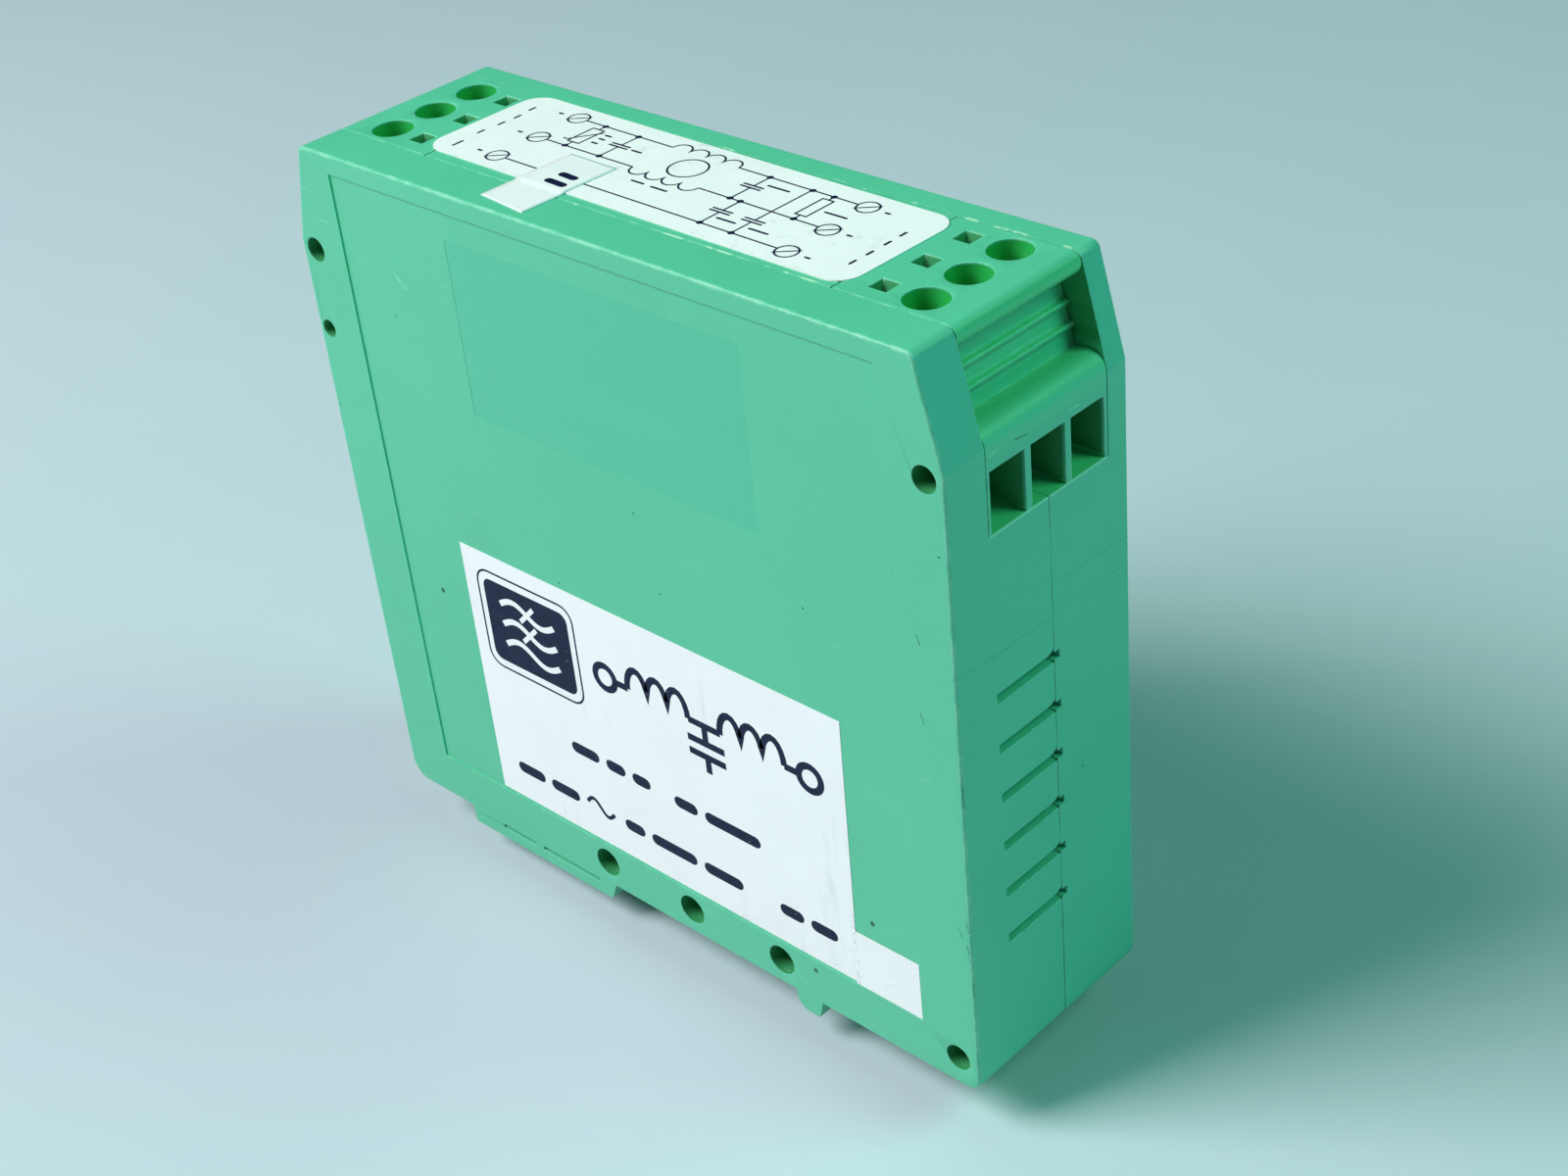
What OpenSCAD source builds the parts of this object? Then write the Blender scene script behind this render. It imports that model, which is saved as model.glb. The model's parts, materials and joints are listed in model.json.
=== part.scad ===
// Rail-mounting mains filter: a slim two-shell housing with three screw clamps
// at each end, a marker channel on each shoulder, a sliding rail catch below
// and a filter board inside. All sizes are millimetres.
//
// The modules are written in a working frame whose corner is the lower left
// front corner of the housing: X runs along the housing from the line end to
// the load end, Y through its width, Z up from the housing's flat underside.
// place() moves that frame so that the origin is the middle of the footprint,
// on the surface that the rail hook and catch stand on.

/* [Housing] */
// Length of the housing from end face to end face
body_l = 77.2; // [75:0.1:80]
// Width of the housing across both shells
body_w = 22.5; // [22.2:0.1:23]
// Height of the housing without the rail foot
body_h = 72.0; // [71.5:0.1:74]
// Height of the slanted shoulder at each end
shoulder_h = 9.6; // [9:0.1:10.2]
// How far each shoulder leans in at the top
shoulder_l = 2.4; // [2:0.1:2.8]
// Radius along the long outer edges
edge_r = 0.3; // [0.3:0.05:0.8]
// Thickness of the two large side walls
side_wall = 1.6; // [1.4:0.1:1.9]
// Thickness of the end walls and the bottom wall
end_wall = 1.8; // [1.5:0.1:2]
// Distance of the parting line from the front face
split_y = 12.2; // [12:0.1:12.4]
// Depth of the recessed panel in each side wall
panel_depth = 0.25; // [0.1:0.05:0.4]

/* [Terminals] */
// Distance between neighbouring clamps
pole_pitch = 5.0; // [4.95:0.01:5.08]
// Distance of the clamp screws from the end face
screw_x = 7.1; // [6.9:0.05:7.2]
// Radius of the screwdriver holes
driver_r = 1.9; // [1.85:0.05:2]
// Radius of the clamp screws' threaded shank
screw_r = 1.25; // [1:0.05:1.25]
// Radius of the clamp screws' slotted heads
head_r = 1.8; // [1.7:0.05:1.8]
// Lift of the clamp cages from open to closed
cage_lift = 1.8; // [1:0.1:1.8]

/* [Ventilation] */
// Number of slots in each end face
vent_count = 6; // [1:1:6]
// Distance between neighbouring slots
vent_pitch = 5.0; // [4.5:0.1:5]
// Height of a slot at the outer face
vent_h = 0.95; // [0.6:0.05:1.2]

/* [Rail foot] */
// Width of the rail between the two catch faces
rail_w = 35.3; // [35.1:0.1:35.5]
// Room for the rail's flange under the seat
flange_gap = 1.2; // [1.1:0.05:1.4]
// Depth of the rail seat below the housing
seat_drop = 1.85; // [1.7:0.05:2]
// Travel of the catch when it is pulled to release the rail
catch_travel = 2.2; // [1.5:0.1:2.2]

/* [Choke] */
// Outer radius of the ring core
core_ro = 10.5; // [9.5:0.1:11]
// Inner radius of the ring core
core_ri = 6.0; // [5.5:0.1:6.5]
// Height of the ring core
core_h = 8.0; // [7:0.1:9]
// Turns shown on each winding
winding_turns = 11; // [8:1:12]

/* [Hidden] */
$fn = 48;

foot_h = seat_drop + flange_gap + 1.75;  // lowest point below the housing
block_y0 = 4.85;                         // sides of the terminal blocks and cover
block_y1 = 19.9;
pole_mid = (block_y0 + block_y1) / 2 - 0.025;
block_l = 14.45;                         // length of a terminal block
sill_z = body_h - 17.2;                  // ledge that the terminal blocks stand on
hook_x = 58.9;                           // catch face of the fixed hook
catch_x = hook_x - rail_w;               // catch face of the sliding catch
lip_z = -seat_drop - flange_gap;         // upper face of both lips
flange_w = 4.8;                          // width of the front shell's top edge
green = [0.34, 0.74, 0.60];
inner_green = [0.30, 0.70, 0.55];
steel = [0.72, 0.72, 0.70];
tin = [0.80, 0.79, 0.75];
copper = [0.62, 0.27, 0.12];

function pole_y(k) = pole_mid + (k - 1) * pole_pitch;
function unit(v) = v / norm(v);
// Corner i of a closed outline, replaced by an arc of radius r in n steps
function corner(p0, p1, p2, r, n) =
    let (u = unit(p0 - p1), v = unit(p2 - p1),
         half = acos(max(-1, min(1, u * v))) / 2,
         c = p1 + unit(u + v) * r / sin(half),
         s = p1 + u * r / tan(half) - c, e = p1 + v * r / tan(half) - c,
         a0 = atan2(s[1], s[0]), da = atan2(s[0] * e[1] - s[1] * e[0], s * e))
    [for (i = [0 : n]) c + r * [cos(a0 + da * i / n), sin(a0 + da * i / n)]];
// Closed outline with a radius for each corner; radius 0 keeps the corner
function rounded(p, r, n = 6) = [for (i = [0 : len(p) - 1])
    each (r[i] == 0 ? [p[i]] :
        corner(p[(i + len(p) - 1) % len(p)], p[i], p[(i + 1) % len(p)], r[i], n))];

module place() translate([-body_l / 2, -body_w / 2, foot_h]) children();
// Extrudes an outline drawn in X and Z along Y, from y0 to y1
module slab(y0, y1) translate([0, y1, 0]) rotate([90, 0, 0]) linear_extrude(y1 - y0) children();
module box(x0, x1, y0, y1, z0, z1) translate([x0, y0, z0]) cube([x1 - x0, y1 - y0, z1 - z0]);
// Round bar along Y
module bar(x, z, r, y0, y1) translate([x, y1, z]) rotate([90, 0, 0]) cylinder(r = r, h = y1 - y0);
// The same thing at the load end, turned about the housing's middle plane
module at_load_end() translate([body_l, 0, 0]) mirror([1, 0, 0]) children();

// ---- housing ----
module body_outline() polygon(rounded([
    [0, 0], [body_l, 0], [body_l, body_h - shoulder_h], [body_l - shoulder_l, body_h],
    [shoulder_l, body_h], [0, body_h - shoulder_h]],
    [2.2, 1.5, 1.2, 0.9, 0.9, 1.2]));
module body_solid() hull() {
    slab(edge_r, body_w - edge_r) body_outline();
    for (a = [0, 30, 60], side = [0, 1])
        translate([0, side == 0 ? edge_r * (1 - cos(a)) : body_w - edge_r * (1 - cos(a)) - 0.001, 0])
            slab(0, 0.001) offset(delta = -edge_r * (1 - sin(a))) body_outline();
}
// Space inside the housing between the planes y0 and y1
module hollow(y0, y1) {
    slab(y0, y1) intersection() {
        offset(delta = -end_wall) body_outline();
        square([body_l, sill_z - 1.6]);
    }
    box(10.4, body_l - 10.4, y0, y1, sill_z - 2, sill_z + 0.5);
    box(4.6, body_l - 4.6, y0, y1, sill_z, body_h - 3.4);
}
module vent_slot(x_out, x_in, z) polygon([[x_out, z], [x_in, z], [x_in, z - vent_h * 0.45], [x_out, z - vent_h]]);
function vent_z(i) = sill_z - 14.8 - i * vent_pitch;
pegs = [[30.4, 2.85, 1.55], [42.1, 2.85, 1.55], [53.8, 2.85, 1.55], [74.9, 3.05, 1.3]];
// Foot strip that the rail's left flange seats on, with its two narrow slots
module foot_strip() difference() {
    polygon(rounded([[9.5, 0.9], [9.5, -seat_drop], [30.2, -seat_drop], [31.0, 0], [31.0, 0.9]],
        [0, 0.5, 0.25, 0, 0], 4));
    for (s = [[14.2, 19.1], [20.3, 28.6]]) translate([s[0], -0.55]) square([s[1] - s[0], 0.43]);
}
module seat_stub() polygon(rounded([[55.4, 0.9], [55.4, -seat_drop], [58.1, -seat_drop], [58.6, 0], [58.6, 0.9]],
    [0, 1.5, 0.2, 0, 0], 6));
module fixed_hook() polygon(rounded([[hook_x, 0.9], [hook_x, lip_z], [hook_x - 3, lip_z],
    [hook_x - 3, -foot_h], [hook_x + 2.6, -foot_h], [hook_x + 3.6, 0.9]],
    [0, 0, 0, 1.2, 0.8, 0], 5));

module front_shell() color(green) place() difference() {
    union() {
        difference() {
            intersection() { body_solid(); box(-1, body_l + 1, -1, split_y, -1, body_h + 1); }
            hollow(side_wall, split_y + 1);
            // pockets beside the terminal blocks, under the top edge
            for (x = [4.6, body_l - block_l]) box(x, x + block_l - 4.6, side_wall, split_y + 1, body_h - 3.5, body_h - 1.75);
            // between the two ledges that carry the cover
            box(block_l - 0.5, body_l - block_l + 0.5, 6.4, split_y + 1, body_h - 3.5, body_h - 1.7);
            // open top and open ends
            box(-1, body_l + 1, flange_w, split_y + 1, body_h - 1.75, body_h + 1);
            for (x = [-1, body_l - 4.7]) box(x, x + 5.7, flange_w, split_y + 1, sill_z, body_h + 1);
        }
        // bosses for the four joining pegs
        for (p = pegs) box(p[0] - 2.6, min(p[0] + 2.6, body_l - 0.6), 1, split_y, 1, 5.6);
        // ribs that hold the terminal blocks off the side wall
        for (x = [6.2, 11.4, body_l - 7.4, body_l - 12.6]) box(x, x + 1.2, 1, flange_w, sill_z + 1, body_h - 2.6);
        // guides for the circuit board
        for (z = [16, 34], x = [1, body_l - 3.8]) {
            box(x, x + 2.8, 1, 2.5, z, z + 6);
            box(x, x + 2.8, 4.3, 5.4, z, z + 6);
        }
        // rail foot: seat strip, its inner ledge, seat stub, half of the hook, half of the spring post
        slab(0, 2) foot_strip();
        box(10.2, 29.8, 1.8, 3, -seat_drop, -seat_drop + 0.6);
        slab(0, 2) seat_stub();
        slab(4.2, split_y) fixed_hook();
        box(12, 13.2, 7.2, split_y, -1.6, 1);
    }
    // side panel and the smooth field in it
    box(6.3, 71, -1, panel_depth, 5.2, body_h - 1.9);
    box(21.5, 56.8, -1, panel_depth + 0.06, sill_z - 4.7, sill_z + 12.6);
    // peg sockets through the side wall
    for (p = pegs) bar(p[0], p[1], p[2], -1, split_y + 1);
    // sockets for the terminal blocks' side pins
    for (x = [1.95, body_l - 1.95]) bar(x, body_h - 10.4, 1.2, -1, flange_w + 1);
    // small blind hole beside the line end
    bar(1.45, sill_z - 1.45, 0.9, -1, 3);
    // ventilation slots in both ends, with the widened corner at the parting line
    for (i = [0 : vent_count - 1]) {
        slab(4.9, split_y + 1) vent_slot(body_l + 0.01, body_l - 3, vent_z(i));
        slab(4.9, split_y + 1) vent_slot(-0.01, 3, vent_z(i));
        // rounded corner of the bar above the slot
        for (x = [-1, body_l - end_wall - 1]) translate([x, 0, vent_z(i)]) rotate([90, 0, 90]) linear_extrude(end_wall + 2)
            polygon([[11.3, -0.1], [11.3, 0], [11.7, 0.06], [12, 0.22], [12.15, 0.42], [split_y + 1, 0.42], [split_y + 1, -0.1]]);
    }
    // hairline above the foot strip's end
    box(10.5, 14.3, -1, 0.3, -0.4, -0.3);
}

module back_shell() color(green) place() difference() {
    union() {
        difference() {
            intersection() { body_solid(); box(-1, body_l + 1, split_y, body_w + 1, -1, body_h + 1); }
            hollow(split_y - 1, body_w - side_wall);
            for (x = [4.6, body_l - block_l]) box(x, x + block_l - 4.6, split_y - 1, body_w - side_wall, body_h - 3.5, body_h - 1.75);
            box(block_l - 0.5, body_l - block_l + 0.5, split_y - 1, 18.4, body_h - 3.5, body_h - 1.7);
            box(-1, body_l + 1, split_y - 1, block_y1 + 0.05, body_h - 1.75, body_h + 1);
            for (x = [-1, body_l - 4.7]) box(x, x + 5.7, split_y - 1, block_y1 + 0.05, sill_z, body_h + 1);
        }
        // posts and pegs that join the shells
        for (p = pegs) {
            box(p[0] - 2.2, min(p[0] + 2.2, body_l - 0.6), split_y, body_w - 1, 1, 5.4);
            bar(p[0], p[1], p[2] - 0.06, 4.2, split_y + 2);
        }
        slab(body_w - 2, body_w) foot_strip();
        box(10.2, 29.8, body_w - 3, body_w - 1.8, -seat_drop, -seat_drop + 0.6);
        slab(body_w - 2, body_w) seat_stub();
        slab(split_y, 18.3) fixed_hook();
        box(12, 13.2, split_y, 15.3, -1.6, 1);
    }
    box(6.3, 71, body_w - panel_depth, body_w + 1, 5.2, body_h - 1.9);
    for (x = [1.95, body_l - 1.95]) bar(x, body_h - 10.4, 1.2, block_y1 - 1, 21.2);
    // square notches that meet the ends of the ventilation slots
    for (i = [0 : vent_count - 1], x = [-1, body_l - end_wall - 1])
        box(x, x + end_wall + 2, split_y - 1, split_y + 0.75, vent_z(i) - 0.8, vent_z(i));
}

// Cover plate between the two terminal blocks, on the shells' ledges
module top_cover() color(green) place() union() {
    box(block_l + 0.1, body_l - block_l - 0.1, block_y0, block_y1, body_h - 1.7, body_h);
    for (x = [20, body_l - 24], y = [6.55, 17.25]) box(x, x + 4, y, y + 1, body_h - 6, body_h - 1.2);
    box(block_l + 3, body_l - block_l - 3, 11.9, 12.9, body_h - 4, body_h - 1.2);
}

// ---- terminals ----
// Side view of a terminal block at the line end: foot of the end face, rounded
// bar, slanted channel with two ribs, rounded overhang, top, inner wall
module block_outline() union() {
    polygon(rounded([[0, sill_z], [0, body_h - 7.75], [3.05, body_h - 8.15], [4.4, body_h - 2.4],
        [4.4, body_h - 1.95], [2.2, body_h - 1.95], [2.2, body_h], [block_l, body_h],
        [block_l, body_h - 1.7], [12.9, body_h - 1.7], [12.9, sill_z]],
        [0, 1.75, 0, 0, 0.2, 0.95, 0.95, 0, 0, 0, 0], 8));
    for (z = [body_h - 6.6, body_h - 4.8]) polygon(let (x = 3.05 + (z - body_h + 8.15) * 0.235)
        [[x + 0.3, z], [x - 0.42, z + 0.05], [x - 0.34, z + 0.5], [x + 0.4, z + 0.55]]);
}
module terminal_block() color(green) difference() {
    union() {
        slab(block_y0, block_y1) block_outline();
        // side pins that seat in the shells
        bar(1.95, body_h - 10.4, 1.1, 1.7, block_y0 + 0.2);
        bar(1.95, body_h - 10.4, 1.1, block_y1 - 0.2, 21);
    }
    // shallow arch under the walls between the wire entries
    slab(5.5, 19.2) polygon([[0.5, sill_z - 1], [0.5, sill_z], [1.4, sill_z + 0.22], [2.6, sill_z + 0.32], [4.33, sill_z + 0.32], [4.33, sill_z - 1]]);
    for (k = [0 : 2]) let (y = pole_y(k)) {
        // wire entry, cage space and contact slot, all open towards the sill
        box(-1, 4.35, y - 2.1, y + 2.1, sill_z - 1, sill_z + 5.5);
        box(4.3, 10, y - 2.15, y + 2.15, sill_z - 1, sill_z + 8.3 + cage_lift);
        box(9.9, 12.1, y - 1.25, y + 1.25, sill_z - 1, sill_z + 6.2);
        // screwdriver hole, seat of the screw's head
        translate([screw_x, y, sill_z + 8]) cylinder(r = screw_r + 0.07, h = 4);
        translate([screw_x, y, sill_z + 11.35]) cylinder(r = driver_r, h = 7);
        // test hole with its funnel
        box(10.75, 11.85, y - 0.55, y + 0.55, sill_z + 6, body_h - 1);
        translate([11.3, y, body_h - 1.5]) linear_extrude(height = 1.501, scale = 1.8) square(1.0, center = true);
    }
}
module line_terminal_block() place() terminal_block();
module load_terminal_block() place() at_load_end() terminal_block();

// Slotted clamp screw
module clamp_screw(k) color(steel) translate([screw_x, pole_y(k), 0]) difference() {
    union() {
        translate([0, 0, sill_z + 11.4]) cylinder(r = head_r, h = 1.8);
        translate([0, 0, sill_z + 5.95]) cylinder(r = screw_r, h = 6);
    }
    translate([-0.3, -3, sill_z + 12.5]) cube([0.6, 6, 2]);
}
module line_screw_earth() place() clamp_screw(0);
module line_screw_neutral() place() clamp_screw(1);
module line_screw_live() place() clamp_screw(2);
module load_screw_earth() place() at_load_end() clamp_screw(0);
module load_screw_neutral() place() at_load_end() clamp_screw(1);
module load_screw_live() place() at_load_end() clamp_screw(2);

// Rising cage: a square tube of folded steel with the thread in its top
module clamp_cage(k) color(steel) let (y = pole_y(k)) difference() {
    box(screw_x - 2.65, screw_x + 2.75, y - 2.05, y + 2.05, sill_z + 0.5, sill_z + 7.7);
    box(0, 14, y - 1.35, y + 1.35, sill_z + 1.5, sill_z + 6.2);
    translate([screw_x, y, sill_z + 5]) cylinder(r = screw_r + 0.05, h = 4);
}
module line_cage_earth() place() clamp_cage(0);
module line_cage_neutral() place() clamp_cage(1);
module line_cage_live() place() clamp_cage(2);
module load_cage_earth() place() at_load_end() clamp_cage(0);
module load_cage_neutral() place() at_load_end() clamp_cage(1);
module load_cage_live() place() at_load_end() clamp_cage(2);

// Contact bar through the cage, bent down and across to the board
function pin_z(k) = 49.6 - 3.4 * k;
module contact(k) color(tin) let (y = pole_y(k)) union() {
    box(4.6, 11.7, y - 1.1, y + 1.1, sill_z + 4.8, sill_z + 5.8);
    box(10.9, 11.7, y - 0.8, y + 0.8, pin_z(k), sill_z + 5.3);
    box(10.9, 11.7, 1.95, y + 0.8, pin_z(k), pin_z(k) + 0.8);
}
module line_contact_earth() place() contact(0);
module line_contact_neutral() place() contact(1);
module line_contact_live() place() contact(2);
module load_contact_earth() place() at_load_end() contact(0);
module load_contact_neutral() place() at_load_end() contact(1);
module load_contact_live() place() at_load_end() contact(2);

// ---- filter board ----
board_y = 2.6;
board_t = 1.6;
top_y = board_y + board_t;
// Lead positions of every part on the board
choke_c = [38.6, 28];
choke_leads = [for (a = [35, 145, 215, 325]) choke_c + 12.2 * [cos(a), sin(a)]];
line_cap_leads = [[10, 11], [10, 33.5]];
load_cap_leads = [[59, 27.5], [59, 42.5]];
earth_cap_leads = [[[66.5, 11], [71.5, 11]], [[66.5, 24], [71.5, 24]]];
varistor_leads = [[17.6, 44.2], [25.1, 44.2]];
resistor_leads = [[45.5, 48.3], [58, 48.3]];
all_leads = concat(choke_leads, line_cap_leads, load_cap_leads, earth_cap_leads[0],
    earth_cap_leads[1], varistor_leads, resistor_leads);
module lead(p, y1) bar(p[0], p[1], 0.4, 1.95, y1);

module circuit_board() color([0.14, 0.42, 0.24]) place() difference() {
    box(2.1, body_l - 2.1, board_y, top_y, 6.2, 52.6);
    for (p = all_leads) bar(p[0], p[1], 0.55, 0, 8);
    for (k = [0 : 2], x = [11.3, body_l - 11.3]) bar(x, pin_z(k) + 0.4, 0.75, 0, 8);
}

choke_y = top_y + 1.6;   // underside of the ring core
module ring(ri, ro, y0, y1) translate([choke_c[0], y1, choke_c[1]]) rotate([90, 0, 0])
    rotate_extrude($fn = 72) translate([ri, 0]) square([ro - ri, y1 - y0]);
module choke_core() color([0.20, 0.28, 0.22]) place() ring(core_ri, core_ro, choke_y + 1.2, choke_y + 1.2 + core_h);
// One winding: a sleeve round a third of the core, with a raised band for each turn
module sector(a0, a1, ri, ro, y0, y1) translate([choke_c[0], y1, choke_c[1]]) rotate([90, 0, 0])
    rotate([0, 0, a0]) rotate_extrude(angle = a1 - a0, $fn = 72) translate([ri, 0]) square([ro - ri, y1 - y0]);
module winding(a0) {
    y0 = choke_y + 1.2;
    y1 = y0 + core_h;
    step = 120 / winding_turns;
    difference() {
        union() {
            sector(a0, a0 + 120, core_ri - 0.7, core_ro + 0.7, y0 - 0.7, y1 + 0.7);
            for (i = [0 : winding_turns - 1])
                sector(a0 + (i + 0.2) * step, a0 + (i + 0.8) * step, core_ri - 1, core_ro + 1, y0 - 1, y1 + 1);
        }
        ring(core_ri - 0.02, core_ro + 0.02, y0 - 0.02, y1 + 0.02);
    }
}
module choke_winding_live() color(copper) place() union() {
    winding(30);
    for (i = [0, 1]) lead(choke_leads[i], choke_y + 3);
    for (i = [0, 1]) let (a = [35, 145][i]) translate([choke_c[0], choke_y + 2.6, choke_c[1]])
        rotate([0, -a, 0]) translate([11, 0, 0]) rotate([0, 90, 0]) cylinder(r = 0.4, h = 1.2);
}
module choke_winding_neutral() color(copper) place() union() {
    winding(210);
    for (i = [2, 3]) lead(choke_leads[i], choke_y + 3);
    for (i = [0, 1]) let (a = [215, 325][i]) translate([choke_c[0], choke_y + 2.6, choke_c[1]])
        rotate([0, -a, 0]) translate([11, 0, 0]) rotate([0, 90, 0]) cylinder(r = 0.4, h = 1.2);
}
// Moulded carrier: a disc under the core with a divider through its hole
module choke_carrier() color([0.12, 0.12, 0.12]) place() difference() {
    union() {
        bar(choke_c[0], choke_c[1], 13.4, top_y, choke_y + 0.1);
        box(choke_c[0] - 4.6, choke_c[0] + 4.6, choke_y - 0.2, choke_y + 10.6, choke_c[1] - 0.6, choke_c[1] + 0.6);
    }
    for (p = choke_leads) bar(p[0], p[1], 0.5, 0, choke_y + 1);
}

module boxed_capacitor(x0, x1, z0, z1, h, leads) {
    slab(top_y + 0.05, top_y + h) polygon(rounded([[x0, z0], [x1, z0], [x1, z1], [x0, z1]], [0.8, 0.8, 0.8, 0.8], 4));
    for (p = leads) lead(p, top_y + 1);
}
module line_capacitor() color([0.86, 0.80, 0.30]) place() boxed_capacitor(4.8, 15.2, 9, 35.5, 15.6, line_cap_leads);
module load_capacitor() color([0.86, 0.80, 0.30]) place() boxed_capacitor(56, 62, 26, 44, 11.5, load_cap_leads);
// Coated disc standing on two leads
module disc_part(leads, r, t) {
    xm = (leads[0][0] + leads[1][0]) / 2;
    z = leads[0][1];
    translate([xm, top_y + 1.6 + r, z - t / 2]) cylinder(r = r, h = t);
    for (p = leads) lead([p[0], p[1]], top_y + 1.6 + r * 0.7);
}
module earth_capacitor_live() color([0.16, 0.38, 0.62]) place() disc_part(earth_cap_leads[0], 4.4, 3.2);
module earth_capacitor_neutral() color([0.16, 0.38, 0.62]) place() disc_part(earth_cap_leads[1], 4.4, 3.2);
module varistor() color([0.16, 0.30, 0.58]) place() disc_part(varistor_leads, 5.6, 3.8);
module bleed_resistor() color([0.80, 0.66, 0.42]) place() union() {
    y = top_y + 1.9;
    translate([48.2, y, 48.3]) rotate([0, 90, 0]) cylinder(r = 1.25, h = 7.2);
    for (x = [47.9, 53.7]) translate([x, y, 48.3]) rotate([0, 90, 0]) cylinder(r = 1.45, h = 2);
    box(45.3, 58.2, y - 0.25, y + 0.25, 48.05, 48.55);
    for (p = resistor_leads) bar(p[0], p[1], 0.4, 1.95, y + 0.45);
}

// ---- rail foot ----
// Sliding catch: a flat plate under the housing with a nose that grips the
// rail's left flange, a window for the spring and a slot for a screwdriver
module rail_catch() color(inner_green) place() difference() {
    union() {
        box(9.2, 27, 2.15, body_w - 2.15, -1.15, -0.1);
        box(3.6, 10, 6, body_w - 6, -1.15, -0.1);
        slab(4.2, 18.3) polygon(rounded([[catch_x - 3, -0.5], [catch_x - 3, -foot_h], [catch_x + 3.2, -foot_h],
            [catch_x + 3.2, lip_z], [catch_x, lip_z], [catch_x, -0.5]], [0, 0.8, 1.2, 0, 0, 0], 5));
    }
    box(11.95, 16.25 + catch_travel, 6.6, 15.9, -3, 1);
    box(5, 6.4, 8.4, 14.1, -3, 1);
}
// Flat serpentine spring of round wire between the post and the window's edge
module catch_spring() color(steel) place() translate([0, 0, -0.62]) {
    x0 = 13.52;
    pitch = (catch_travel + 2.42) / 4;
    for (i = [0 : 4]) translate([x0 + i * pitch, 8.4, 0]) rotate([-90, 0, 0]) cylinder(r = 0.28, h = 5.6, $fn = 24);
    for (i = [0 : 3]) translate([x0 + (i + 0.5) * pitch, i % 2 == 0 ? 14 : 8.4, 0])
        rotate([0, 0, i % 2 == 0 ? 0 : 180]) rotate_extrude(angle = 180, $fn = 24) translate([pitch / 2, 0]) circle(r = 0.28);
}

// ---- labels ----
module top_label() color([0.93, 0.95, 0.97]) place() translate([38.25, 12.65, body_h]) rotate([0, 0, -0.75])
    linear_extrude(0.1) polygon(rounded([[-25.3, -6.9], [25.3, -6.9], [25.3, 6.9], [-25.3, 6.9]], [2.2, 2.2, 2.2, 2.2], 8));
module side_label() color([0.93, 0.95, 0.97]) place() slab(panel_depth - 0.1, panel_depth)
    polygon([[15.45, 5.45], [63.45, 5.35], [63.95, 34.45], [15.5, 34.6]]);
module small_label() color([0.93, 0.95, 0.97]) place() slab(panel_depth - 0.2, panel_depth - 0.1)
    polygon([[63.3, 5.25], [70.95, 5.25], [70.95, 11.5], [63.35, 11.45]]);
module end_sticker() color([0.95, 0.96, 0.98]) place() translate([0, 0, body_h + 0.1]) linear_extrude(0.1)
    polygon(rounded([[25.7, 1.75], [31.6, 1.1], [32.1, 11.6], [26.2, 11.75]], [0.1, 0.1, 0.3, 0.3], 3));

front_shell();
back_shell();
top_cover();
line_terminal_block();
load_terminal_block();
line_screw_earth();
line_screw_neutral();
line_screw_live();
load_screw_earth();
load_screw_neutral();
load_screw_live();
line_cage_earth();
line_cage_neutral();
line_cage_live();
load_cage_earth();
load_cage_neutral();
load_cage_live();
line_contact_earth();
line_contact_neutral();
line_contact_live();
load_contact_earth();
load_contact_neutral();
load_contact_live();
circuit_board();
choke_core();
choke_winding_live();
choke_winding_neutral();
choke_carrier();
line_capacitor();
load_capacitor();
earth_capacitor_live();
earth_capacitor_neutral();
varistor();
bleed_resistor();
rail_catch();
catch_spring();
top_label();
side_label();
small_label();
end_sticker();
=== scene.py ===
# The finished look of a rail-mounting mains filter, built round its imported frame.
import json
import math
import random
import bmesh
import bpy
from mathutils import Matrix, Vector

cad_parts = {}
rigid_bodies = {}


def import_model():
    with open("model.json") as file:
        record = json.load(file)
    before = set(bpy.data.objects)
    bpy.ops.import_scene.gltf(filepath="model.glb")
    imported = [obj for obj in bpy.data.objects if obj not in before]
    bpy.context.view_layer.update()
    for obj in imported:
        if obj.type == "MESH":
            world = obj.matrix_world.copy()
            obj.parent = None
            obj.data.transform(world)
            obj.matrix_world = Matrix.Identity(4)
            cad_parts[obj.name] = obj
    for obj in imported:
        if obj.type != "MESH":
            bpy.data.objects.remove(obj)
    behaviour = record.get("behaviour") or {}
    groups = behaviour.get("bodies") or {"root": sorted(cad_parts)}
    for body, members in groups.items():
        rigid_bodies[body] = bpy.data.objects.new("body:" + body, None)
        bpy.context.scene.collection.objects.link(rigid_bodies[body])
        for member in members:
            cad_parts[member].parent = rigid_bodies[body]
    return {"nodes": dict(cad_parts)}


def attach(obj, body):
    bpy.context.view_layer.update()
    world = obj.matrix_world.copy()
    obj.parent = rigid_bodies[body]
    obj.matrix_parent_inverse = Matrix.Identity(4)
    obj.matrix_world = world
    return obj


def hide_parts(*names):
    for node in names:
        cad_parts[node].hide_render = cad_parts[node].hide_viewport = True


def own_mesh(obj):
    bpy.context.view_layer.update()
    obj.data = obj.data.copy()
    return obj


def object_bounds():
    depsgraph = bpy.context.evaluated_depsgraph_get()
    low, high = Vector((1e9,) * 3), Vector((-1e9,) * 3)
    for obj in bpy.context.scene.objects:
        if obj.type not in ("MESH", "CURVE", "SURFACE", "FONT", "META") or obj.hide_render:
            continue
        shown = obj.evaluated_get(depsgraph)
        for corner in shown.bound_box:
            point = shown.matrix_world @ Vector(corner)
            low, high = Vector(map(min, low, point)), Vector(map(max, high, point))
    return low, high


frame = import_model()
cad_lo, cad_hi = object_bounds()
NODES = frame["nodes"]
MM = 0.001
scene = bpy.context.scene
rng = random.Random(7)

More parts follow.
